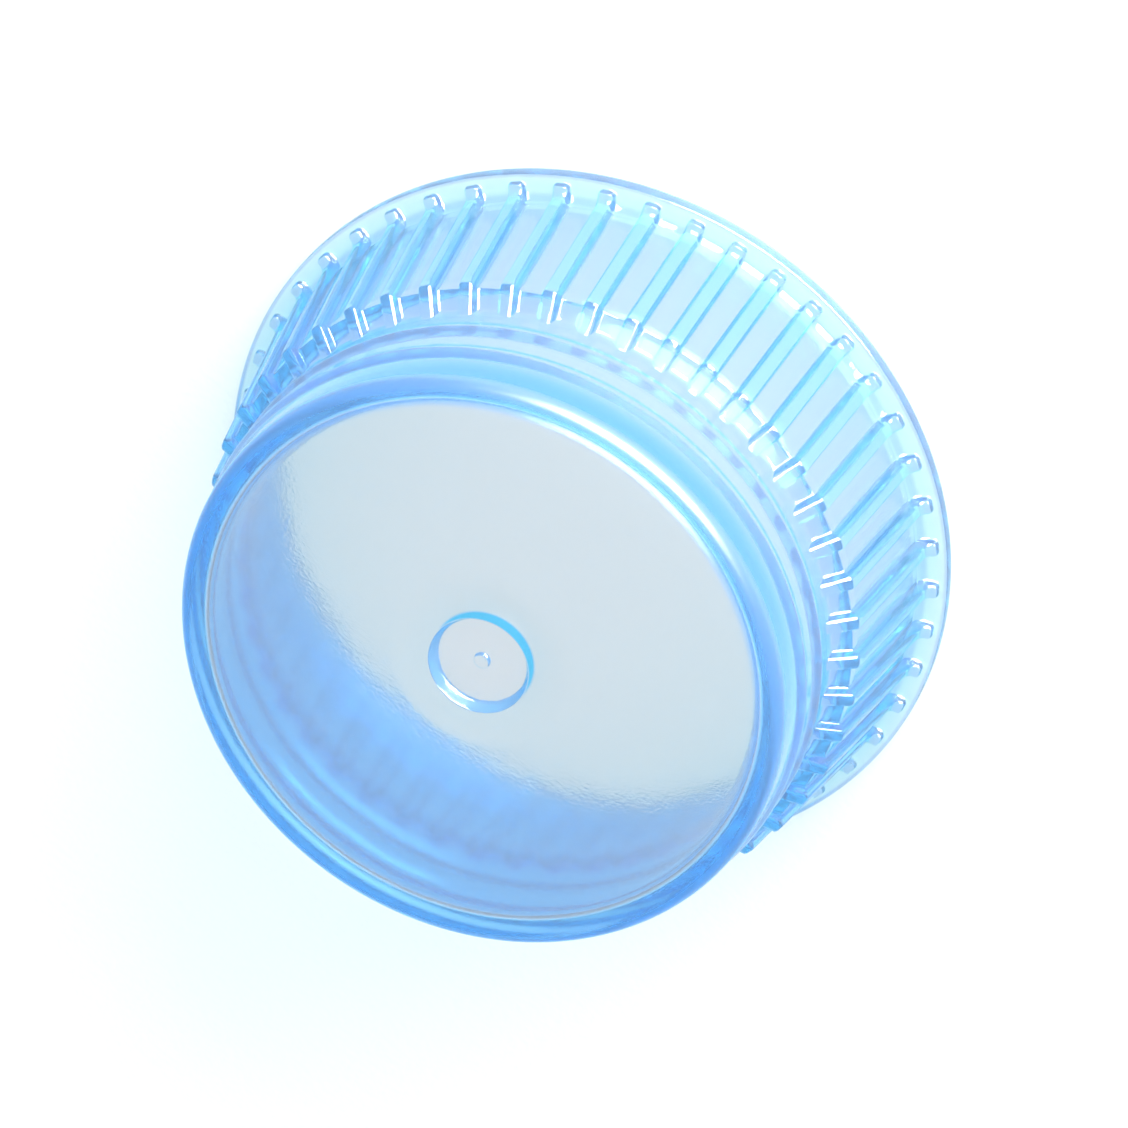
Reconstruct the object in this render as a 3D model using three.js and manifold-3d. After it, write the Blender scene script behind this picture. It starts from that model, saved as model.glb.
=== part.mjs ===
// Push-in stopper for a laboratory tube, moulded in one piece from light blue
// translucent polyethylene. All lengths are in millimetres.
//
// The stopper is a stepped thimble. It stands on its open end, on the flange, with
// the closed end up. Z is the axis of the round shape, and the origin is the centre
// of the flange's open face.
//
//   closed end   thin flat disc with a round dimple where the plastic was fed in, and
//                a low bulge under the dimple
//   plug         plain cylinder with two low sealing rings, it goes into the tube
//   shoulder     short slope that stops the plug at the tube's mouth
//   skirt        flared grip with 48 ribs, wider inside than the plug
//   flange       thin flat lip round the open end

import * as THREE from 'three';
import { mergeVertices } from 'three/addons/utils/BufferGeometryUtils.js';
import Module from 'manifold-3d';

// Driving dimensions
const PLUG_RADIUS = 7.0;
const TOTAL_HEIGHT = 7.66;
const PLUG_WALL = 0.49;
const DISC_THICKNESS = 0.28;
const END_EDGE_RADIUS = 0.32;

const SEALING_RING_HEIGHTS = [5.15, 6.2];
const SEALING_RING_PROUD = 0.12;
const SEALING_RING_LENGTH = 0.7;

const SHOULDER_TOP = 4.2;
const SHOULDER_FOOT = 3.95;
const SKIRT_TOP_RADIUS = 7.41;
const SKIRT_FOOT_RADIUS = 7.78;
const SKIRT_BORE_TOP_RADIUS = 6.98;
const SKIRT_BORE_FOOT_RADIUS = 7.3;
const LEDGE_TOP = 3.9;
const LEDGE_FOOT = 3.5;

const FLANGE_RADIUS = 8.38;
const FLANGE_THICKNESS = 0.33;
const FLANGE_EDGE_CHAMFER = 0.06;
const FLANGE_FILLET_RADIUS = 0.33;

const RIB_COUNT = 48;
const RIB_WIDTH = 0.36;
const RIB_PROUD = 0.21;
const RIB_TIP_RADIUS = 8.24;
const RIB_ROOT_DEPTH = 0.15;

const DIMPLE_RADIUS = 1.09;
const DIMPLE_DEPTH = 0.26;
const DIMPLE_SLOPE = 0.12;
const BULGE_DEPTH = 0.12;
const BULGE_FLAT_RADIUS = 1.15;
const BULGE_FOOT_RADIUS = 2.0;
const GATE_RADIUS = 0.2;
const GATE_HEIGHT = 0.07;

// Two facets for each rib, with an edge in the middle of each rib
const FACETS = 2 * RIB_COUNT;
const ARC_STEPS = 3;
const BORE_ARC_STEPS = 2;

const CEILING = TOTAL_HEIGHT - DISC_THICKNESS;
const PLUG_BORE_RADIUS = PLUG_RADIUS - PLUG_WALL;

const wasm = await Module();
wasm.setup();

// Points along an arc in the plane of the profile, which holds the radius and the height
function arc(centreRadius, centreHeight, radius, startDegrees, endDegrees, steps) {
  const points = [];
  for (let step = 0; step <= steps; step += 1) {
    const angle = THREE.MathUtils.degToRad(
      startDegrees + ((endDegrees - startDegrees) * step) / steps
    );
    points.push(new THREE.Vector2(
      centreRadius + radius * Math.cos(angle),
      centreHeight + radius * Math.sin(angle)
    ));
  }
  return points;
}

// A low swelling round the plug, from its foot to its top
function sealingRing(crestHeight) {
  const half = SEALING_RING_LENGTH / 2;
  return [
    new THREE.Vector2(PLUG_RADIUS, crestHeight - half),
    new THREE.Vector2(PLUG_RADIUS + SEALING_RING_PROUD, crestHeight),
    new THREE.Vector2(PLUG_RADIUS, crestHeight + half),
  ];
}

// The inside: from the axis, under the closed end, down to the open mouth
function insideProfile() {
  const bulge = CEILING - BULGE_DEPTH;
  const cornerRadius = END_EDGE_RADIUS;
  return [
    new THREE.Vector2(0, bulge),
    new THREE.Vector2(BULGE_FLAT_RADIUS, bulge),
    new THREE.Vector2(BULGE_FOOT_RADIUS, CEILING),
    ...arc(
      PLUG_BORE_RADIUS - cornerRadius, CEILING - cornerRadius, cornerRadius, 90, 0, BORE_ARC_STEPS
    ),
    new THREE.Vector2(PLUG_BORE_RADIUS, LEDGE_TOP),
    new THREE.Vector2(SKIRT_BORE_TOP_RADIUS, LEDGE_FOOT),
    new THREE.Vector2(SKIRT_BORE_FOOT_RADIUS, 0),
  ];
}

// The outside: round the flange, up the skirt and the plug, and back to the axis
function outsideProfile() {
  const edge = FLANGE_EDGE_CHAMFER;
  const fillet = FLANGE_FILLET_RADIUS;
  const filletHeight = FLANGE_THICKNESS + fillet;
  const dimpleFloor = TOTAL_HEIGHT - DIMPLE_DEPTH;
  return [
    new THREE.Vector2(FLANGE_RADIUS - edge, 0),
    new THREE.Vector2(FLANGE_RADIUS, edge),
    new THREE.Vector2(FLANGE_RADIUS, FLANGE_THICKNESS - edge),
    new THREE.Vector2(FLANGE_RADIUS - edge, FLANGE_THICKNESS),
    ...arc(SKIRT_FOOT_RADIUS + fillet, filletHeight, fillet, 270, 180, ARC_STEPS),
    new THREE.Vector2(SKIRT_TOP_RADIUS, SHOULDER_FOOT),
    new THREE.Vector2(PLUG_RADIUS, SHOULDER_TOP),
    ...SEALING_RING_HEIGHTS.flatMap(sealingRing),
    ...arc(
      PLUG_RADIUS - END_EDGE_RADIUS, TOTAL_HEIGHT - END_EDGE_RADIUS, END_EDGE_RADIUS, 0, 90, ARC_STEPS
    ),
    new THREE.Vector2(DIMPLE_RADIUS, TOTAL_HEIGHT),
    new THREE.Vector2(DIMPLE_RADIUS - DIMPLE_SLOPE, dimpleFloor),
    new THREE.Vector2(GATE_RADIUS, dimpleFloor),
    new THREE.Vector2(0, dimpleFloor + GATE_HEIGHT),
  ];
}

// The side view of one rib: it climbs over the flange, follows the skirt's slope and
// ends on the shoulder, and its root is sunk in the wall
function ribOutline() {
  const slope = Math.atan2(
    SKIRT_FOOT_RADIUS - SKIRT_TOP_RADIUS,
    SHOULDER_FOOT - FLANGE_THICKNESS
  );
  const proudAcross = RIB_PROUD / Math.cos(slope);
  const sunkAcross = RIB_ROOT_DEPTH / Math.cos(slope);
  const fillet = FLANGE_FILLET_RADIUS;
  const bendRadius = SKIRT_FOOT_RADIUS + fillet;
  const bendHeight = FLANGE_THICKNESS + fillet;
  const outline = [
    new THREE.Vector2(RIB_TIP_RADIUS, FLANGE_THICKNESS - RIB_ROOT_DEPTH),
    new THREE.Vector2(RIB_TIP_RADIUS, FLANGE_THICKNESS + RIB_PROUD / 2),
    ...arc(bendRadius, bendHeight, fillet - RIB_PROUD, 270, 180, ARC_STEPS),
    new THREE.Vector2(SKIRT_TOP_RADIUS + proudAcross, SHOULDER_FOOT + RIB_PROUD / 2),
    new THREE.Vector2(PLUG_RADIUS + RIB_PROUD / 2, SHOULDER_TOP + RIB_PROUD / 4),
    new THREE.Vector2(PLUG_RADIUS + RIB_PROUD / 2, SHOULDER_FOOT),
    new THREE.Vector2(SKIRT_FOOT_RADIUS - sunkAcross, FLANGE_THICKNESS - RIB_ROOT_DEPTH),
  ];
  return new THREE.Shape(outline);
}

// A closed geometry as a solid: shared corners are merged, and the triangles that
// shrink to a line on the axis are dropped
function toSolid(geometry) {
  geometry.deleteAttribute('normal');
  geometry.deleteAttribute('uv');
  const merged = mergeVertices(geometry);
  const corners = Array.from(merged.index.array);
  const triangles = [];
  for (let first = 0; first < corners.length; first += 3) {
    const [a, b, c] = corners.slice(first, first + 3);
    if (a !== b && b !== c && c !== a) triangles.push(a, b, c);
  }
  return new wasm.Manifold(new wasm.Mesh({
    numProp: 3,
    vertProperties: new Float32Array(merged.attributes.position.array),
    triVerts: new Uint32Array(triangles),
  }));
}

function toGeometry(solid) {
  const mesh = solid.getMesh();
  const geometry = new THREE.BufferGeometry();
  geometry.setAttribute('position', new THREE.BufferAttribute(mesh.vertProperties, 3));
  geometry.setIndex(new THREE.BufferAttribute(mesh.triVerts, 1));
  geometry.computeVertexNormals();
  return geometry;
}

// A LatheGeometry turns about Y, so it is stood up along Z
function turnedBody() {
  const geometry = new THREE.LatheGeometry([...insideProfile(), ...outsideProfile()], FACETS);
  geometry.rotateX(Math.PI / 2);
  return toSolid(geometry);
}

// A rib lies in the plane of X and Z, and is then turned to its place round the skirt
function rib(angle) {
  const geometry = new THREE.ExtrudeGeometry(ribOutline(), {
    depth: RIB_WIDTH,
    steps: 1,
    bevelEnabled: false,
  });
  geometry.translate(0, 0, -RIB_WIDTH / 2);
  geometry.rotateX(Math.PI / 2);
  geometry.rotateZ(angle);
  return toSolid(geometry);
}

function stopperGeometry() {
  let solid = turnedBody();
  for (let place = 0; place < RIB_COUNT; place += 1) {
    solid = solid.add(rib((2 * Math.PI * place) / RIB_COUNT));
  }
  return toGeometry(solid);
}

const group = new THREE.Group();

const stopper = new THREE.Mesh(stopperGeometry(), new THREE.MeshStandardMaterial({
  color: 0xa6d2f7,
  roughness: 0.35,
  metalness: 0,
  transparent: true,
  opacity: 0.6,
}));
stopper.name = 'stopper';
group.add(stopper);

export default group;
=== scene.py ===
import math

import bmesh
import bpy
from bpy.props import FloatProperty, FloatVectorProperty, IntProperty, PointerProperty
from mathutils import Matrix, Vector


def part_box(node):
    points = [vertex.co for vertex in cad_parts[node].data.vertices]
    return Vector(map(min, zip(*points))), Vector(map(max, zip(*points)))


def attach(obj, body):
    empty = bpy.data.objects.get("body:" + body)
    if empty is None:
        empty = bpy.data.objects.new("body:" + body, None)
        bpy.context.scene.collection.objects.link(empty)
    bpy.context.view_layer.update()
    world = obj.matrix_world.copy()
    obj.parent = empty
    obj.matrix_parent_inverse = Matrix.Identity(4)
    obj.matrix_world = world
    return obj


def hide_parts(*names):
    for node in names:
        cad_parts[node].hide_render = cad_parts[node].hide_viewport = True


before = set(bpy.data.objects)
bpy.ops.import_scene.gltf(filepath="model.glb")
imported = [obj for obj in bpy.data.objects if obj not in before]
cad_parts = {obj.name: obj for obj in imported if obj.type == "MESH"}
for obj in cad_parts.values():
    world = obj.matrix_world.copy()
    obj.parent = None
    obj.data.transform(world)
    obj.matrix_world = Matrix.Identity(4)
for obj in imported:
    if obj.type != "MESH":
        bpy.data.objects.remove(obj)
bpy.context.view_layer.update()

bl_info = {
    "name": "Tube Stopper",
    "version": (1, 0, 0),
    "blender": (4, 5, 0),
    "location": "View3D > Sidebar > Stopper",
    "description": "Builds a moulded plug cap for a laboratory tube, with its stage, lights and camera",
    "category": "Object",
}

MM = 0.001
STOPPER = "stopper"
BODY = "root"

stopper_low, stopper_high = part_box(STOPPER)
FLANGE_RADIUS = stopper_high[0]
HEIGHT = stopper_high[2]
FLOOR_HEIGHT = stopper_low[2]

# Heights and radii of the moulding that don't change with the sizes in the panel
RING_HEIGHTS = (5.15 * MM, 6.2 * MM)
SHOULDER_TOP = 4.2 * MM
SHOULDER_FOOT = 3.95 * MM
SKIRT_TOP_RADIUS = 7.41 * MM
SKIRT_FOOT_RADIUS = 7.78 * MM
SKIRT_BORE_RADIUS = 6.98 * MM
MOUTH_RADIUS = 7.3 * MM
LEDGE_TOP = 3.9 * MM
LEDGE_FOOT = 3.5 * MM
LEDGE_ROUNDING = 0.55 * MM
FLANGE_THICKNESS = 0.33 * MM
FILLET_RADIUS = 0.33 * MM

# The dimple, with the gate mark on its floor and the low bulge under it. The crown of the
# gate mark is given in shares of the mark's radius and height.
DIMPLE_SLOPE = 0.12 * MM
DIMPLE_ROUNDING = 0.05 * MM
DIMPLE_FLOOR_ROUNDING = 0.1 * MM
GATE_RADIUS = 0.2 * MM
GATE_HEIGHT = 0.07 * MM
GATE_ROUNDING = 0.05 * MM
GATE_CROWN_WIDTH = 0.8
GATE_CROWN_LIFT = 0.7
BULGE_DEPTH = 0.12 * MM
BULGE_FLAT_RADIUS = 1.15 * MM
BULGE_FOOT_RADIUS = 2.0 * MM
BULGE_ROUNDING = 2.5 * MM

# Rounding of the other corners
SHOULDER_TOP_ROUNDING = 0.1 * MM
SHOULDER_FOOT_ROUNDING = 0.07 * MM
RIB_TOP_ROUNDING = 0.04 * MM
RIB_SHOULDER_ROUNDING = 0.1 * MM
FLANGE_ROUNDING = 0.07 * MM
MOUTH_ROUNDING = 0.12 * MM

# The stretch of the outside that carries the ribs, and where a rib fades out on the flange
RIB_ZONE_TOP = 4.75 * MM
RIB_ZONE_EDGE = 8.28 * MM
RIB_TIP = 8.24 * MM
RIB_FADE = 0.05 * MM
RIB_FADE_LENGTH = 0.025 * MM
RIB_TIP_NARROWING = 0.1

# How high a rib stands at its top, on the shoulder and on the flange, in shares of its height
RIB_TOP_LIFT = 1.3
RIB_SHOULDER_LIFT = 0.6
RIB_FLANGE_LIFT = 0.8

# The cross-section of a rib, in shares of half its width
RIB_FOOT = 1.5
RIB_SIDE_STEEPNESS = 5
RIB_COLUMNS = (-1.5, -1.28, -1.1, -0.93, -0.75, -0.4, 0.4, 0.75, 0.93, 1.1, 1.28, 1.5)

# How finely the mesh is cut between two ribs and down the plug. A row nearer to the axis than
# the least column radius has the angles that belong to that radius.
GAP_PIECES = 3
PLUG_ROWS = 28
LEAST_COLUMN_RADIUS = 6.5 * MM
ON_THE_AXIS = 1e-9

# How far from the edge of its region each colour of the plastic, and the painted shadow, starts and is
# full. For the glance and the lean, these are shares: 1 is along the surface, and straight from the
# axis.
DISC_RADIUS_FADE = 0.25 * MM
DISC_DEPTH_FADE = (0.6 * MM, 0.3 * MM)
FLANGE_TOP_FADE = 0.08 * MM
FLANGE_EDGE_FADE = (0.04 * MM, 0.1 * MM)
RIB_PROUD_FADE = (0.02 * MM, 0.14 * MM)
RIB_FLANGE_FADE = (0.15 * MM, 0.5 * MM)
RIB_SHOULDER_FADE = 0.2 * MM
COLLAR_FOOT_FADE = (1.5 * MM, 0.85 * MM)
COLLAR_TOP_FADE = (0.2 * MM, 0.45 * MM)
GLANCE_FADE = (0.5, 0.85)
GLANCE_DEPTH_FADE = (0.01 * MM, 0.05 * MM)
# The painted shadow on the walls seen from inside: where it starts away from the axis, and how it pales
# near the closed end
FAR_WALL_SHADOW_RADIUS_FADE = (2.7 * MM, 4.1 * MM)
FAR_WALL_SHADOW_PALE_FADE = (0.8 * MM, 0.3 * MM)
FAR_WALL_SHADOW_PALE_SHARE = 0.1
LEAN_FADE = (0.2, 0.6)
RIM_DEPTH_FADE = (0.12 * MM, 0.06 * MM)
RIM_INNER_FADE = (-0.03 * MM, 0.04 * MM)
RIM_OUTER_FADE = (0.05 * MM, -0.03 * MM)

# The thicker plastic beside the dimple is a crescent between two circles this far apart
RIM_SHADE_SHIFT = 0.25 * MM

# Where the fine frosting of the closed end and the dulled rounded edge begin
FROST_DEPTH_FADE = (0.32 * MM, 0.26 * MM)
DULL_RADIUS_FADE = (0.34 * MM, 0.2 * MM)
DULL_DEPTH_FADE = (0.55 * MM, 0.3 * MM)

# Frosting and the slow ripple of a moulded surface, by the size and share of their grain
GRAIN_SIZE = 0.07 * MM
GRAIN_DETAIL = 3
GRAIN_SHARE = 0.25
DIMPLE_GRAIN_SHARE = 0.9
DIMPLE_GRAIN_FADE = (0.05 * MM, -0.1 * MM)
RIPPLE_SIZE = 1.1 * MM
RIPPLE_DETAIL = 1
RIPPLE_DEPTH = 0.012 * MM

# How the plastic bends light, and how it tints light that only passes through to the floor
PLASTIC_IOR = 1.5
LIGHT_THROUGH = (0.91, 0.9, 0.9, 1.0)

# Stage
FLOOR_REACH = 1.5
FLOOR_GAP = 0.01 * MM
FLOOR_DARK = (0.885, 0.885, 0.89)
FLOOR_LIGHT = (0.915, 0.915, 0.91)
FLOOR_ROUGHNESS = (0.72, 0.88)
MOTTLE_SIZE = 6 * MM
MOTTLE_DETAIL = 3
TOOTH_SIZE = 0.25 * MM
TOOTH_DETAIL = 4
TOOTH_DEPTH = 0.01 * MM
ROOM_LIGHT = 0.88
ROOM_SHINE = 0.45
LAMP_DISTANCE = 0.15
KEY_AZIMUTH = -90
KEY_ELEVATION = 20
KEY_SIZE = (0.14, 0.1)
KEY_POWER = 0.38
GLOSS_ELEVATION = 28
GLOSS_SIZE = (0.15, 0.115)
GLOSS_POWER = 2.8
BOUNCES = 24
CAMERA_AZIMUTH = 2.71
CAMERA_ELEVATION = 55.5
CAMERA_ROLL = -144.42
CAMERA_DISTANCE = 0.7
SENSOR_WIDTH = 36.0
CAMERA_LENS = 1018.7
AIM_HEIGHT = 7.35 * MM
CAMERA_SLIDE = (1.78 * MM, 2.09 * MM, 0)


class StopperShape(bpy.types.PropertyGroup):
    """Sizes of the moulded stopper."""

    plug_radius: FloatProperty(
        name="Plug radius", description="Outside radius of the plug between its rings",
        default=7.0 * MM, unit="LENGTH")
    plug_wall: FloatProperty(
        name="Plug wall", description="Thickness of the plug's round wall",
        default=0.49 * MM, unit="LENGTH")
    disc_thickness: FloatProperty(
        name="Disc thickness", description="Thickness of the closed end",
        default=0.28 * MM, unit="LENGTH")
    end_edge: FloatProperty(
        name="End edge radius", description="Rounding between the closed end and the plug",
        default=0.32 * MM, unit="LENGTH")
    ring_proud: FloatProperty(
        name="Ring height", description="How far the sealing rings stand out of the plug",
        default=0.12 * MM, unit="LENGTH")
    ring_length: FloatProperty(
        name="Ring length", description="Length of a sealing ring along the plug",
        default=0.7 * MM, unit="LENGTH")
    ribs: IntProperty(
        name="Ribs", description="Number of grip ribs round the skirt", default=48, min=3)
    rib_width: FloatProperty(
        name="Rib width", description="Width of a grip rib", default=0.36 * MM, unit="LENGTH")
    rib_proud: FloatProperty(
        name="Rib height", description="How far a grip rib stands out of the skirt",
        default=0.21 * MM, unit="LENGTH")
    dimple_radius: FloatProperty(
        name="Dimple radius", description="Radius of the recess in the closed end",
        default=1.16 * MM, unit="LENGTH")
    dimple_depth: FloatProperty(
        name="Dimple depth", description="Depth of the recess in the closed end",
        default=0.26 * MM, unit="LENGTH")


class StopperFinish(bpy.types.PropertyGroup):
    """Colours and surface qualities of the plastic, with one colour of painted shadow."""

    tint: FloatVectorProperty(
        name="Plastic tint", description="Colour that a long way through the plastic tends to",
        default=(0.07, 0.84, 1.0), size=3, min=0, max=1, subtype="COLOR")
    tint_density: FloatProperty(
        name="Tint density", description="How strongly the plastic colours light, per metre",
        default=540.0, min=0)
    wall_colour: FloatVectorProperty(
        name="Wall colour", description="Colour that one crossing of the walls gives to light",
        default=(0.66, 0.64, 0.88), size=3, min=0, max=1, subtype="COLOR")
    # Painted shadow: a deeper blue on the walls seen from inside, in place of the stopper's own blue
    # shadow on the floor behind them
    far_wall_shadow_colour: FloatVectorProperty(
        name="Inside colour", description="Colour of the walls where they are seen from inside",
        default=(0.06, 0.51, 0.98), size=3, min=0, max=1, subtype="COLOR")
    disc_colour: FloatVectorProperty(
        name="Disc colour", description="Colour that one crossing of the closed end gives to light",
        default=(0.875, 0.76, 0.77), size=3, min=0, max=1, subtype="COLOR")
    edge_colour: FloatVectorProperty(
        name="Edge colour", description="Colour of the plastic where it is seen along its surface",
        default=(0.24, 0.72, 1.0), size=3, min=0, max=1, subtype="COLOR")
    flange_colour: FloatVectorProperty(
        name="Flange colour", description="Colour that one crossing of the flange gives to light",
        default=(1.0, 1.0, 1.0), size=3, min=0, max=1, subtype="COLOR")
    rib_colour: FloatVectorProperty(
        name="Rib colour", description="Colour of the thicker plastic of the grip ribs",
        default=(0.5, 0.74, 0.98), size=3, min=0, max=1, subtype="COLOR")
    collar_colour: FloatVectorProperty(
        name="Collar colour", description="Colour of the wall just below the closed end",
        default=(0.2, 0.5, 0.94), size=3, min=0, max=1, subtype="COLOR")
    rim_colour: FloatVectorProperty(
        name="Dimple rim colour", description="Colour of the thick plastic on one side of the dimple",
        default=(0.04, 0.5, 1.0), size=3, min=0, max=1, subtype="COLOR")
    clearness: FloatProperty(
        name="Clearness", description="Share of the light that goes through a surface, the rest is haze",
        default=0.9, min=0, max=1)
    wall_roughness: FloatProperty(
        name="Wall roughness", description="Roughness of the polished moulded walls",
        default=0.13, min=0, max=1)
    edge_roughness: FloatProperty(
        name="Edge roughness", description="Roughness of the rounded edge of the closed end",
        default=0.32, min=0, max=1)
    disc_roughness: FloatProperty(
        name="Disc roughness", description="Roughness of the frosted closed end",
        default=0.14, min=0, max=1)


def turn(corners):
    """Points along a chain of corners, as (radius, height, rounding, arc steps, pieces before it).

    Each corner is rounded by an arc, and the straight stretch before it is cut into equal pieces.
    """
    points = []
    last = len(corners) - 1
    for place, (radius, height, rounding, steps, pieces) in enumerate(corners):
        here = Vector((radius, height))
        stretch = [here]
        if 0 < place < last and rounding > 0:
            before = (Vector(corners[place - 1][:2]) - here).normalized()
            after = (Vector(corners[place + 1][:2]) - here).normalized()
            half = before.angle(after) / 2
            centre = here + (before + after).normalized() * (rounding / math.sin(half))
            start = math.atan2(*reversed(here + before * (rounding / math.tan(half)) - centre))
            end = math.atan2(*reversed(here + after * (rounding / math.tan(half)) - centre))
            sweep = math.remainder(end - start, 2 * math.pi)
            angles = [start + sweep * step / steps for step in range(steps + 1)]
            stretch = [
                centre + Vector((math.cos(angle), math.sin(angle))) * rounding for angle in angles]
        if points:
            above = points[-1]
            points += [above.lerp(stretch[0], part / pieces) for part in range(1, pieces)]
        points += stretch
    return points


def plug_side(shape, top, foot, steps):
    """The plug's wall from top to foot, with a smooth swelling at each sealing ring."""
    points = []
    for step in range(1, steps):
        height = top + (foot - top) * step / steps
        radius = shape.plug_radius
        for crest in RING_HEIGHTS:
            away = abs(height - crest) / shape.ring_length
            if away < 0.5:
                radius += shape.ring_proud * (1 + math.cos(2 * math.pi * away)) / 2
        points.append(Vector((radius, height)))
    return points


def closed_end(shape):
    """From the axis over the gate mark, the dimple and the disc to the top of the plug's wall."""
    floor = HEIGHT - shape.dimple_depth
    return turn([
        (0, floor + GATE_HEIGHT, 0, 0, 0),
        (GATE_RADIUS * GATE_CROWN_WIDTH, floor + GATE_HEIGHT * GATE_CROWN_LIFT, GATE_ROUNDING, 2, 1),
        (GATE_RADIUS, floor, GATE_ROUNDING, 3, 1),
        (shape.dimple_radius - DIMPLE_SLOPE, floor, DIMPLE_FLOOR_ROUNDING, 5, 3),
        (shape.dimple_radius, HEIGHT, DIMPLE_ROUNDING, 4, 3),
        (shape.plug_radius, HEIGHT, shape.end_edge, 8, 4),
        (shape.plug_radius, HEIGHT - 2 * shape.end_edge, 0, 0, 1),
    ])[:-1]


def grip_valley(shape):
    """The outside between the ribs, from the foot of the plug to the edge of the flange."""
    return turn([
        (shape.plug_radius, RIB_ZONE_TOP, 0, 0, 0),
        (shape.plug_radius, SHOULDER_TOP, SHOULDER_TOP_ROUNDING, 4, 4),
        (SKIRT_TOP_RADIUS, SHOULDER_FOOT, SHOULDER_FOOT_ROUNDING, 4, 2),
        (SKIRT_FOOT_RADIUS, FLANGE_THICKNESS, FILLET_RADIUS, 7, 5),
        (RIB_ZONE_EDGE, FLANGE_THICKNESS, 0, 0, 7),
    ])


def grip_crest(shape):
    """The outside along the top of a rib, with as many points as grip_valley."""
    proud = shape.rib_proud
    top = SHOULDER_TOP + RIB_TOP_LIFT * proud
    shoulder = SHOULDER_FOOT + RIB_SHOULDER_LIFT * proud
    flange = FLANGE_THICKNESS + RIB_FLANGE_LIFT * proud
    return turn([
        (shape.plug_radius, RIB_ZONE_TOP, 0, 0, 0),
        (shape.plug_radius, top, RIB_TOP_ROUNDING, 4, 4),
        (SKIRT_TOP_RADIUS + proud, shoulder, RIB_SHOULDER_ROUNDING, 4, 2),
        (SKIRT_FOOT_RADIUS + proud, flange, FILLET_RADIUS / 2, 7, 5),
        (RIB_ZONE_EDGE, flange, 0, 0, 7),
    ])


def open_end(shape):
    """Round the flange and up the inside to the axis under the closed end."""
    bore = shape.plug_radius - shape.plug_wall
    ceiling = HEIGHT - shape.disc_thickness
    bulge = ceiling - BULGE_DEPTH
    return turn([
        (RIB_ZONE_EDGE, FLANGE_THICKNESS, 0, 0, 0),
        (FLANGE_RADIUS, FLANGE_THICKNESS, FLANGE_ROUNDING, 3, 1),
        (FLANGE_RADIUS, FLOOR_HEIGHT, FLANGE_ROUNDING, 3, 1),
        (MOUTH_RADIUS, FLOOR_HEIGHT, MOUTH_ROUNDING, 3, 3),
        (SKIRT_BORE_RADIUS, LEDGE_FOOT, LEDGE_ROUNDING, 5, 3),
        (bore, LEDGE_TOP, LEDGE_ROUNDING, 5, 1),
        (bore, ceiling, shape.end_edge, 6, 2),
        (BULGE_FOOT_RADIUS, ceiling, BULGE_ROUNDING, 4, 3),
        (BULGE_FLAT_RADIUS, bulge, BULGE_ROUNDING, 4, 1),
        (0, bulge, 0, 0, 3),
    ])[1:]


def rib_swell(across):
    """How much of a rib's height it has at a place across it, where 1 is its side."""
    if abs(across) >= RIB_FOOT:
        return 0.0
    return (1 - math.tanh(RIB_SIDE_STEEPNESS * (abs(across) - 1))) / 2


def rows_of(shape):
    """Every ring of the surface, from the axis outside to the axis inside.

    A row holds the point between the ribs, the point on a rib and the rib's share of its width.
    """
    rows = [(point, point, 1.0) for point in closed_end(shape)]
    rows += [(point, point, 1.0) for point in plug_side(
        shape, HEIGHT - shape.end_edge, RIB_ZONE_TOP, PLUG_ROWS)]
    half_width = shape.rib_width / 2
    for valley, crest in zip(grip_valley(shape), grip_crest(shape)):
        past = max(0.0, (valley.x - (RIB_TIP - half_width)) / half_width)
        narrow = math.sqrt(max(RIB_TIP_NARROWING, 1 - min(past, 1) ** 2))
        left = (1 - math.tanh((valley.x - RIB_TIP + RIB_FADE) / RIB_FADE_LENGTH)) / 2
        rows.append((valley, valley.lerp(crest, left), narrow))
    rows += [(point, point, 1.0) for point in open_end(shape)]
    return rows


def columns_of(shape, row):
    """The angles round one row, each with its place across the rib, which is its foot in a gap."""
    valley, _, narrow = row
    reach = shape.rib_width / 2 * narrow / max(valley.x, LEAST_COLUMN_RADIUS)
    pitch = 2 * math.pi / shape.ribs
    gap = pitch - 2 * RIB_FOOT * reach
    columns = []
    for rib in range(shape.ribs):
        centre = rib * pitch
        columns += [(centre + across * reach, across) for across in RIB_COLUMNS]
        side = centre + RIB_FOOT * reach
        columns += [(side + gap * part / GAP_PIECES, RIB_FOOT) for part in range(1, GAP_PIECES)]
    return columns


def stopper_mesh(shape):
    """One closed mesh of the whole moulding."""
    mesh = bmesh.new()
    rings = []
    for row in rows_of(shape):
        valley, crest, _ = row
        if valley.x < ON_THE_AXIS:
            rings.append([mesh.verts.new((0, 0, valley.y))])
            continue
        ring = []
        for angle, across in columns_of(shape, row):
            point = valley.lerp(crest, rib_swell(across))
            ring.append(mesh.verts.new(
                (point.x * math.cos(angle), point.x * math.sin(angle), point.y)))
        rings.append(ring)
    for upper, lower in zip(rings, rings[1:]):
        count = max(len(upper), len(lower))
        for place in range(count):
            after = (place + 1) % count
            if len(upper) == 1:
                mesh.faces.new((upper[0], lower[place], lower[after]))
            elif len(lower) == 1:
                mesh.faces.new((upper[place], lower[0], upper[after]))
            else:
                mesh.faces.new((upper[place], lower[place], lower[after], upper[after]))
    for face in mesh.faces:
        face.smooth = True
    bmesh.ops.recalc_face_normals(mesh, faces=mesh.faces)
    data = bpy.data.meshes.new("moulded_stopper")
    mesh.to_mesh(data)
    mesh.free()
    return data


def add_node(tree, kind, place, **settings):
    """A shader node with its plain properties set."""
    node = tree.nodes.new(kind)
    node.location = place
    for name, value in settings.items():
        setattr(node, name, value)
    return node


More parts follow.
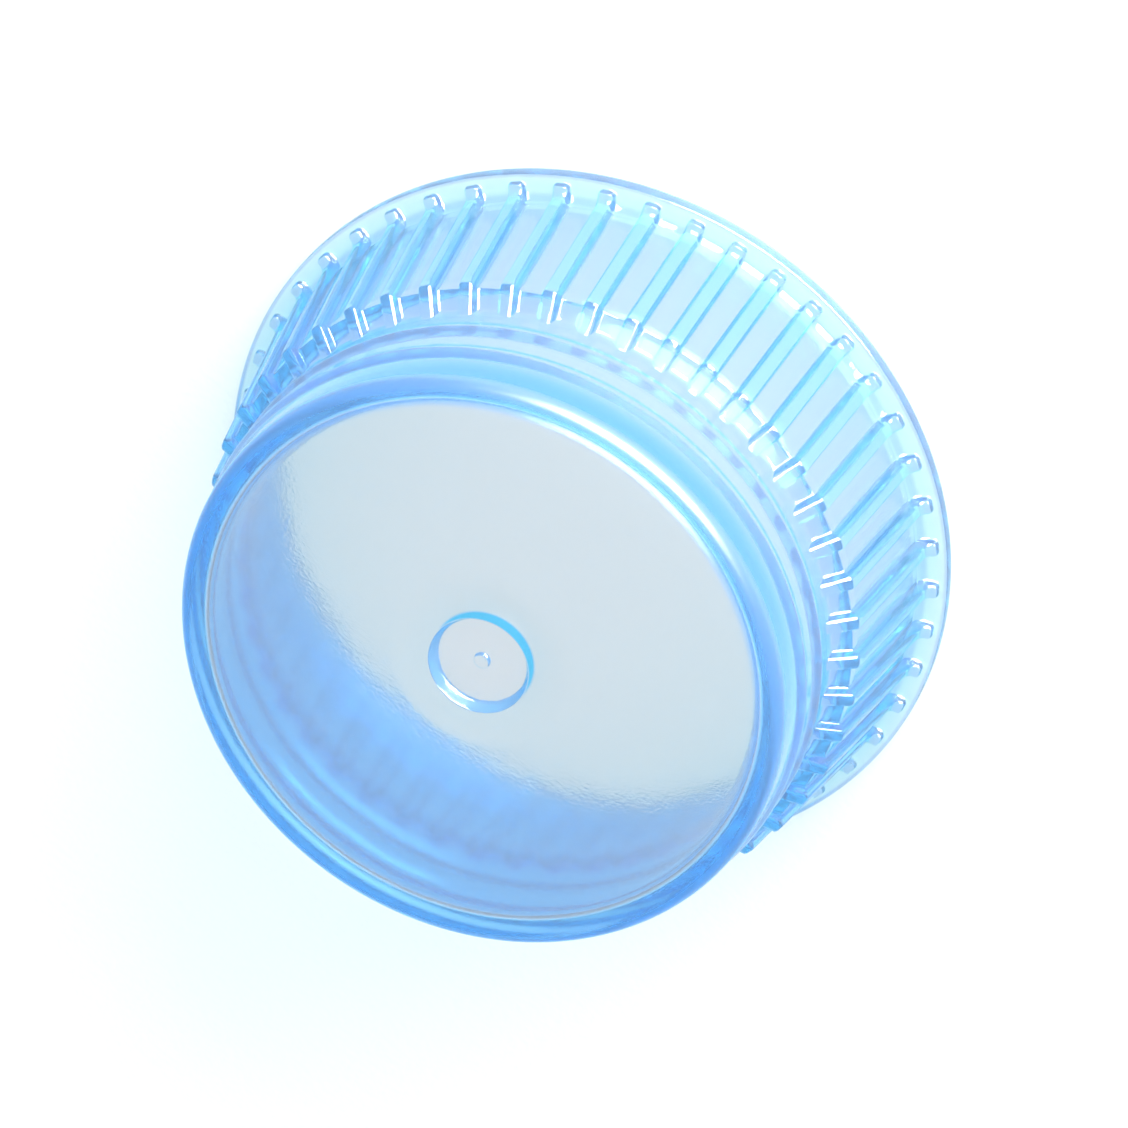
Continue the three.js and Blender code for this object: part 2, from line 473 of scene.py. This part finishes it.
def band(tree, value, start, end, place):
    """A smooth mask that rises from 0 at start to 1 at end."""
    mask = add_node(tree, "ShaderNodeMapRange", place, interpolation_type="SMOOTHSTEP")
    mask.inputs["From Min"].default_value = start
    mask.inputs["From Max"].default_value = end
    tree.links.new(value, mask.inputs["Value"])
    return mask.outputs[0]


def grain_group():
    """The random grain that the plastic and the floor share, as a shader node group."""
    name = "random_grain"
    if name in bpy.data.node_groups:
        return bpy.data.node_groups[name]
    group = bpy.data.node_groups.new(name, "ShaderNodeTree")
    group.interface.new_socket(name="Vector", in_out="INPUT", socket_type="NodeSocketVector")
    group.interface.new_socket(name="Scale", in_out="INPUT", socket_type="NodeSocketFloat")
    group.interface.new_socket(name="Detail", in_out="INPUT", socket_type="NodeSocketFloat")
    group.interface.new_socket(name="Grain", in_out="OUTPUT", socket_type="NodeSocketFloat")
    given = add_node(group, "NodeGroupInput", (-300, 0))
    texture = add_node(group, "ShaderNodeTexNoise", (0, 0))
    result = add_node(group, "NodeGroupOutput", (300, 0))
    for socket in ("Vector", "Scale", "Detail"):
        group.links.new(given.outputs[socket], texture.inputs[socket])
    group.links.new(texture.outputs["Fac"], result.inputs["Grain"])
    return group


def grain(tree, vector, size, detail, place):
    """Random relief between 0 and 1 with features of about the given size."""
    texture = add_node(tree, "ShaderNodeGroup", place)
    texture.node_tree = grain_group()
    texture.inputs["Scale"].default_value = 1 / size
    texture.inputs["Detail"].default_value = detail
    tree.links.new(vector, texture.inputs["Vector"])
    return texture.outputs["Grain"]


def both(tree, first, second, place):
    """The product of two masks."""
    product = add_node(tree, "ShaderNodeMath", place, operation="MULTIPLY")
    tree.links.new(first, product.inputs[0])
    tree.links.new(second, product.inputs[1])
    return product.outputs[0]


def ramp(tree, value, span, results, place, **settings):
    """A number that goes from one result to the other as the value crosses the span."""
    node = add_node(tree, "ShaderNodeMapRange", place, **settings)
    node.inputs["From Min"].default_value, node.inputs["From Max"].default_value = span
    node.inputs["To Min"].default_value, node.inputs["To Max"].default_value = results
    tree.links.new(value, node.inputs["Value"])
    return node.outputs[0]


class Places:
    """The sockets that tell where a point of the moulding is, and how its surface leans."""

    def __init__(self, tree):
        link = tree.links.new
        where = add_node(tree, "ShaderNodeTexCoord", (-1600, 0))
        parts = add_node(tree, "ShaderNodeSeparateXYZ", (-1400, 0))
        flat = add_node(tree, "ShaderNodeCombineXYZ", (-1200, -100))
        distance = add_node(tree, "ShaderNodeVectorMath", (-1000, -100), operation="LENGTH")
        outward = add_node(tree, "ShaderNodeVectorMath", (-1000, 900), operation="NORMALIZE")
        lean = add_node(tree, "ShaderNodeVectorMath", (-800, 900), operation="DOT_PRODUCT")
        link(where.outputs["Object"], parts.inputs[0])
        link(parts.outputs["X"], flat.inputs["X"])
        link(parts.outputs["Y"], flat.inputs["Y"])
        link(flat.outputs[0], distance.inputs[0])
        link(flat.outputs[0], outward.inputs[0])
        link(where.outputs["Normal"], lean.inputs[0])
        link(outward.outputs[0], lean.inputs[1])
        self.point = where.outputs["Object"]
        self.flat = flat.outputs[0]
        self.radius = distance.outputs["Value"]
        self.height = parts.outputs["Z"]
        self.lean = lean.outputs["Value"]


def disc_mask(tree, places, shape):
    """The closed end, inside the plug's wall."""
    bore = shape.plug_radius - shape.plug_wall
    ceiling = HEIGHT - shape.disc_thickness
    foot, top = DISC_DEPTH_FADE
    inside_bore = band(
        tree, places.radius, bore + DISC_RADIUS_FADE, bore - DISC_RADIUS_FADE, (-800, 0))
    at_disc = band(tree, places.height, ceiling - foot, ceiling - top, (-800, 200))
    return both(tree, inside_bore, at_disc, (-600, 100))


def flange_mask(tree, places):
    """The flange, without its outer edge."""
    outer, inner = FLANGE_EDGE_FADE
    at_flange = band(
        tree, places.height, FLANGE_THICKNESS + FLANGE_TOP_FADE, FLANGE_THICKNESS, (-800, 400))
    inside_edge = band(
        tree, places.radius, FLANGE_RADIUS - outer, FLANGE_RADIUS - inner, (-800, 600))
    return both(tree, at_flange, inside_edge, (-600, 500))


def rib_mask(tree, places):
    """What stands proud of the skirt between the flange and the shoulder."""
    skirt = ramp(
        tree, places.height, (FLANGE_THICKNESS, SHOULDER_FOOT),
        (SKIRT_FOOT_RADIUS, SKIRT_TOP_RADIUS), (-1000, 2500), clamp=False)
    proud = add_node(tree, "ShaderNodeMath", (-800, 2500), operation="SUBTRACT")
    tree.links.new(places.radius, proud.inputs[0])
    tree.links.new(skirt, proud.inputs[1])
    low, high = RIB_FLANGE_FADE
    above_flange = band(
        tree, places.height, FLANGE_THICKNESS + low, FLANGE_THICKNESS + high, (-600, 2700))
    below_shoulder = band(
        tree, places.height, SHOULDER_FOOT + RIB_SHOULDER_FADE, SHOULDER_FOOT, (-600, 2900))
    on_skirt = both(tree, above_flange, below_shoulder, (-400, 2800))
    on_rib = band(tree, proud.outputs[0], *RIB_PROUD_FADE, (-600, 2500))
    return both(tree, on_rib, on_skirt, (-200, 2600))


def collar_mask(tree, places):
    """The wall just below the closed end, where it is crossed towards the axis."""
    foot, above_foot = COLLAR_FOOT_FADE
    top, below_top = COLLAR_TOP_FADE
    above = band(tree, places.height, HEIGHT - foot, HEIGHT - above_foot, (-600, 3300))
    below = band(tree, places.height, HEIGHT - top, HEIGHT - below_top, (-600, 3500))
    near = band(tree, places.lean, *LEAN_FADE, (-600, 3100))
    return both(tree, near, both(tree, above, below, (-400, 3400)), (-200, 3200))


def glancing_mask(tree, places):
    """The plastic seen along its surface, below the flat of the closed end."""
    above, below = GLANCE_DEPTH_FADE
    glance = add_node(tree, "ShaderNodeLayerWeight", (-800, 2000))
    along = band(tree, glance.outputs["Facing"], *GLANCE_FADE, (-600, 2000))
    beneath = band(tree, places.height, HEIGHT - above, HEIGHT - below, (-600, 2200))
    return both(tree, along, beneath, (-400, 2000))


def far_wall_shadow_mask(tree, places):
    """Painted shadow: deeper blue on walls crossed away from the axis, fainter near the closed end."""
    start, end = LEAN_FADE
    low, high = FAR_WALL_SHADOW_PALE_FADE
    away = band(tree, places.lean, -start, -end, (-600, 900))
    at_walls = band(tree, places.radius, *FAR_WALL_SHADOW_RADIUS_FADE, (-600, 1100))
    fainter = ramp(
        tree, places.height, (HEIGHT - low, HEIGHT - high), (1.0, FAR_WALL_SHADOW_PALE_SHARE),
        (-600, 1250), interpolation_type="SMOOTHSTEP")
    return both(tree, both(tree, away, at_walls, (-400, 1000)), fainter, (-300, 1000))


def dimple_rim_mask(tree, places, shape):
    """A crescent beside the dimple, between its edge and the same circle moved along Y."""
    low, high = RIM_DEPTH_FADE
    moved = add_node(tree, "ShaderNodeVectorMath", (-1000, 1500), operation="DISTANCE")
    moved.inputs[1].default_value = (0, -RIM_SHADE_SHIFT, 0)
    tree.links.new(places.flat, moved.inputs[0])
    outside, inside = (
        [shape.dimple_radius + away for away in fade] for fade in (RIM_INNER_FADE, RIM_OUTER_FADE))
    at_top = band(tree, places.height, HEIGHT - low, HEIGHT - high, (-800, 1300))
    off_dimple = band(tree, places.radius, *outside, (-800, 1500))
    in_circle = band(tree, moved.outputs["Value"], *inside, (-800, 1700))
    return both(tree, at_top, both(tree, off_dimple, in_circle, (-600, 1500)), (-400, 1300))


def plastic_colour(tree, places, finish, shape):
    """The colour that one crossing gives to light, layer over layer, one of them a painted shadow."""
    layers = (
        (disc_mask(tree, places, shape), finish.disc_colour),
        (flange_mask(tree, places), finish.flange_colour),
        (rib_mask(tree, places), finish.rib_colour),
        (collar_mask(tree, places), finish.collar_colour),
        (glancing_mask(tree, places), finish.edge_colour),
        # Painted shadow: deeper blue on the walls seen from inside, for the stopper's blue shadow on the
        # floor behind them
        (far_wall_shadow_mask(tree, places), finish.far_wall_shadow_colour),
        (dimple_rim_mask(tree, places, shape), finish.rim_colour),
    )
    colour = add_node(tree, "ShaderNodeRGB", (-600, 500)).outputs[0]
    colour.default_value = (*finish.wall_colour, 1.0)
    for step, (mask, pigment) in enumerate(layers):
        layer = add_node(tree, "ShaderNodeMix", (-400 + 150 * step, 500), data_type="RGBA")
        layer.inputs["B"].default_value = (*pigment, 1.0)
        tree.links.new(colour, layer.inputs["A"])
        tree.links.new(mask, layer.inputs["Factor"])
        colour = layer.outputs["Result"]
    return colour


def plastic_roughness(tree, places, finish, frost, shape):
    """Polished walls, a frosted closed end and a dulled rounded edge between them."""
    start, end = DULL_RADIUS_FADE
    low, high = DULL_DEPTH_FADE
    surface = ramp(
        tree, frost, (0.0, 1.0), (finish.wall_roughness, finish.disc_roughness), (-300, -100))
    outer = band(
        tree, places.radius, shape.plug_radius - start, shape.plug_radius - end, (-800, -1100))
    upper = band(tree, places.height, HEIGHT - low, HEIGHT - high, (-800, -1300))
    dulled = add_node(tree, "ShaderNodeMix", (-150, -100), data_type="FLOAT")
    dulled.inputs["B"].default_value = finish.edge_roughness
    tree.links.new(surface, dulled.inputs["A"])
    tree.links.new(both(tree, outer, upper, (-600, -1100)), dulled.inputs["Factor"])
    return dulled.outputs["Result"]


def plastic_relief(tree, places, frost, shape):
    """A slow ripple everywhere, with the grain of the frosting on the closed end."""
    span = [shape.dimple_radius + away for away in DIMPLE_GRAIN_FADE]
    share = ramp(tree, places.radius, span, (GRAIN_SHARE, DIMPLE_GRAIN_SHARE), (-800, -500))
    frosting = grain(tree, places.point, GRAIN_SIZE, GRAIN_DETAIL, (-800, -700))
    ripple = grain(tree, places.point, RIPPLE_SIZE, RIPPLE_DETAIL, (-800, -900))
    relief = add_node(tree, "ShaderNodeMath", (-400, -700), operation="MULTIPLY_ADD")
    tree.links.new(both(tree, frosting, frost, (-600, -700)), relief.inputs[0])
    tree.links.new(share, relief.inputs[1])
    tree.links.new(ripple, relief.inputs[2])
    return bump(tree, relief.outputs[0], RIPPLE_DEPTH, (-200, -500))


def bump(tree, height, depth, place):
    """The normal of a surface with the given relief."""
    node = add_node(tree, "ShaderNodeBump", place)
    node.inputs["Distance"].default_value = depth
    tree.links.new(height, node.inputs["Height"])
    return node.outputs["Normal"]


def let_light_through(tree, shader):
    """Light that is only on its way to the floor goes straight through the plastic."""
    path = add_node(tree, "ShaderNodeLightPath", (0, 500))
    passing = add_node(tree, "ShaderNodeBsdfTransparent", (0, 300))
    passing.inputs["Color"].default_value = LIGHT_THROUGH
    for ray in ("Is Diffuse Ray", "Is Shadow Ray"):
        choice = add_node(tree, "ShaderNodeMixShader", (300, 100))
        tree.links.new(path.outputs[ray], choice.inputs["Fac"])
        tree.links.new(shader.outputs[0], choice.inputs[1])
        tree.links.new(passing.outputs[0], choice.inputs[2])
        shader = choice
    return shader.outputs[0]


def plastic(finish, shape):
    """Light blue translucent polyethylene: polished walls and a frosted closed end."""
    material = bpy.data.materials.new("blue_polyethylene")
    material.use_nodes = True
    tree = material.node_tree
    link = tree.links.new
    shader = tree.nodes["Principled BSDF"]
    output = tree.nodes["Material Output"]
    shader.inputs["Transmission Weight"].default_value = finish.clearness
    shader.inputs["IOR"].default_value = PLASTIC_IOR

    places = Places(tree)
    low, high = FROST_DEPTH_FADE
    frost = band(tree, places.height, HEIGHT - low, HEIGHT - high, (-800, -300))
    link(plastic_colour(tree, places, finish, shape), shader.inputs["Base Color"])
    link(plastic_roughness(tree, places, finish, frost, shape), shader.inputs["Roughness"])
    link(plastic_relief(tree, places, frost, shape), shader.inputs["Normal"])

    absorb = add_node(tree, "ShaderNodeVolumeAbsorption", (0, -300))
    absorb.inputs["Color"].default_value = (*finish.tint, 1.0)
    absorb.inputs["Density"].default_value = finish.tint_density
    link(absorb.outputs[0], output.inputs["Volume"])
    link(let_light_through(tree, shader), output.inputs["Surface"])
    return material


def floor_finish():
    """Pale matt board with a faint mottle and a fine tooth."""
    material = bpy.data.materials.new("pale_board")
    material.use_nodes = True
    tree = material.node_tree
    shader = tree.nodes["Principled BSDF"]
    where = add_node(tree, "ShaderNodeTexCoord", (-900, 0)).outputs["Object"]
    mottle = grain(tree, where, MOTTLE_SIZE, MOTTLE_DETAIL, (-700, 200))
    tooth = grain(tree, where, TOOTH_SIZE, TOOTH_DETAIL, (-700, -200))
    shade = add_node(tree, "ShaderNodeMix", (-400, 200), data_type="RGBA")
    shade.inputs["A"].default_value = (*FLOOR_DARK, 1.0)
    shade.inputs["B"].default_value = (*FLOOR_LIGHT, 1.0)
    tree.links.new(mottle, shade.inputs["Factor"])
    tree.links.new(shade.outputs["Result"], shader.inputs["Base Color"])
    rough = ramp(tree, tooth, (0.0, 1.0), FLOOR_ROUGHNESS, (-400, 0))
    tree.links.new(rough, shader.inputs["Roughness"])
    tree.links.new(bump(tree, tooth, TOOTH_DEPTH, (-400, -200)), shader.inputs["Normal"])
    return material


class OBJECT_OT_add_stopper(bpy.types.Operator):
    """Add the moulded stopper in place of its plain frame part"""

    bl_idname = "object.add_stopper"
    bl_label = "Add Stopper"

    def execute(self, context):
        scene = context.scene
        piece = bpy.data.objects.new("moulded_stopper", stopper_mesh(scene.stopper_shape))
        scene.collection.objects.link(piece)
        piece.data.materials.append(plastic(scene.stopper_finish, scene.stopper_shape))
        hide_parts(STOPPER)
        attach(piece, BODY)
        return {"FINISHED"}


class OBJECT_OT_add_stopper_stage(bpy.types.Operator):
    """Add the floor, the soft lights and the camera"""

    bl_idname = "object.add_stopper_stage"
    bl_label = "Add Stage"

    def execute(self, context):
        scene = context.scene
        add_floor(scene)
        add_room(scene)
        add_softbox(scene, "key_softbox", KEY_ELEVATION, KEY_SIZE, KEY_POWER)
        gloss = add_softbox(scene, "gloss_softbox", GLOSS_ELEVATION, GLOSS_SIZE, GLOSS_POWER)
        gloss.visible_diffuse = False
        add_camera(scene)
        scene.view_settings.view_transform = "Standard"
        scene.cycles.max_bounces = BOUNCES
        scene.cycles.transmission_bounces = BOUNCES
        scene.cycles.transparent_max_bounces = BOUNCES
        return {"FINISHED"}


def add_floor(scene):
    """A wide board just under the flange."""
    floor = bmesh.new()
    bmesh.ops.create_grid(floor, x_segments=1, y_segments=1, size=FLOOR_REACH)
    data = bpy.data.meshes.new("floor")
    floor.to_mesh(data)
    floor.free()
    data.materials.append(floor_finish())
    board = bpy.data.objects.new("floor", data)
    board.location.z = FLOOR_HEIGHT - FLOOR_GAP
    scene.collection.objects.link(board)


def add_room(scene):
    """Even white light from all round, dimmer where it shows in a gloss."""
    world = bpy.data.worlds.new("soft_room")
    world.use_nodes = True
    tree = world.node_tree
    background = tree.nodes["Background"]
    background.inputs["Color"].default_value = (1, 1, 1, 1)
    path = add_node(tree, "ShaderNodeLightPath", (-400, 0))
    strength = ramp(
        tree, path.outputs["Is Glossy Ray"], (0.0, 1.0), (ROOM_LIGHT, ROOM_SHINE), (-200, 0))
    tree.links.new(strength, background.inputs["Strength"])
    scene.world = world


def add_softbox(scene, name, elevation, size, power):
    """A wide lamp on the key side that faces the stopper."""
    data = bpy.data.lights.new(name, "AREA")
    data.energy = power
    data.shape = "RECTANGLE"
    data.size, data.size_y = size
    lamp = bpy.data.objects.new(name, data)
    turn_round = math.radians(KEY_AZIMUTH)
    tilt = math.radians(elevation)
    away = Vector((
        math.cos(turn_round) * math.cos(tilt), math.sin(turn_round) * math.cos(tilt), math.sin(tilt)))
    lamp.location = Vector((0, 0, HEIGHT / 2)) + away * LAMP_DISTANCE
    lamp.rotation_mode = "QUATERNION"
    lamp.rotation_quaternion = (-away).to_track_quat("-Z", "Y")
    scene.collection.objects.link(lamp)
    return lamp


def add_camera(scene):
    """A long lens far above the closed end, rolled so that the plug points down and left."""
    data = bpy.data.cameras.new("camera")
    data.sensor_width = SENSOR_WIDTH
    data.lens = CAMERA_LENS
    data.clip_start = CAMERA_DISTANCE / 100
    data.clip_end = CAMERA_DISTANCE * 10
    camera = bpy.data.objects.new("camera", data)
    turning = Matrix.Rotation(math.radians(CAMERA_AZIMUTH), 3, "Z")
    tilting = Matrix.Rotation(math.radians(90 - CAMERA_ELEVATION), 3, "X")
    rolling = Matrix.Rotation(math.radians(CAMERA_ROLL), 3, "Z")
    facing = turning @ tilting @ rolling
    aim = Vector((0, 0, AIM_HEIGHT)) + facing @ Vector(CAMERA_SLIDE)
    camera.matrix_world = Matrix.LocRotScale(
        aim + facing @ Vector((0, 0, CAMERA_DISTANCE)), facing.to_quaternion(), None)
    scene.collection.objects.link(camera)
    scene.camera = camera


class VIEW3D_PT_stopper(bpy.types.Panel):
    """Sizes, finish and build buttons of the stopper"""

    bl_label = "Stopper"
    bl_idname = "VIEW3D_PT_stopper"
    bl_space_type = "VIEW_3D"
    bl_region_type = "UI"
    bl_category = "Stopper"

    def draw(self, context):
        layout = self.layout
        for group in (context.scene.stopper_shape, context.scene.stopper_finish):
            box = layout.box()
            for name in group.__annotations__:
                box.prop(group, name)
        layout.operator(OBJECT_OT_add_stopper.bl_idname)
        layout.operator(OBJECT_OT_add_stopper_stage.bl_idname)


CLASSES = (
    StopperShape,
    StopperFinish,
    OBJECT_OT_add_stopper,
    OBJECT_OT_add_stopper_stage,
    VIEW3D_PT_stopper,
)


def register():
    for item in CLASSES:
        bpy.utils.register_class(item)
    bpy.types.Scene.stopper_shape = PointerProperty(type=StopperShape)
    bpy.types.Scene.stopper_finish = PointerProperty(type=StopperFinish)


def unregister():
    del bpy.types.Scene.stopper_finish
    del bpy.types.Scene.stopper_shape
    for item in reversed(CLASSES):
        bpy.utils.unregister_class(item)


def main():
    register()
    bpy.ops.object.add_stopper_stage()
    bpy.ops.object.add_stopper()


if __name__ == "__main__":
    main()
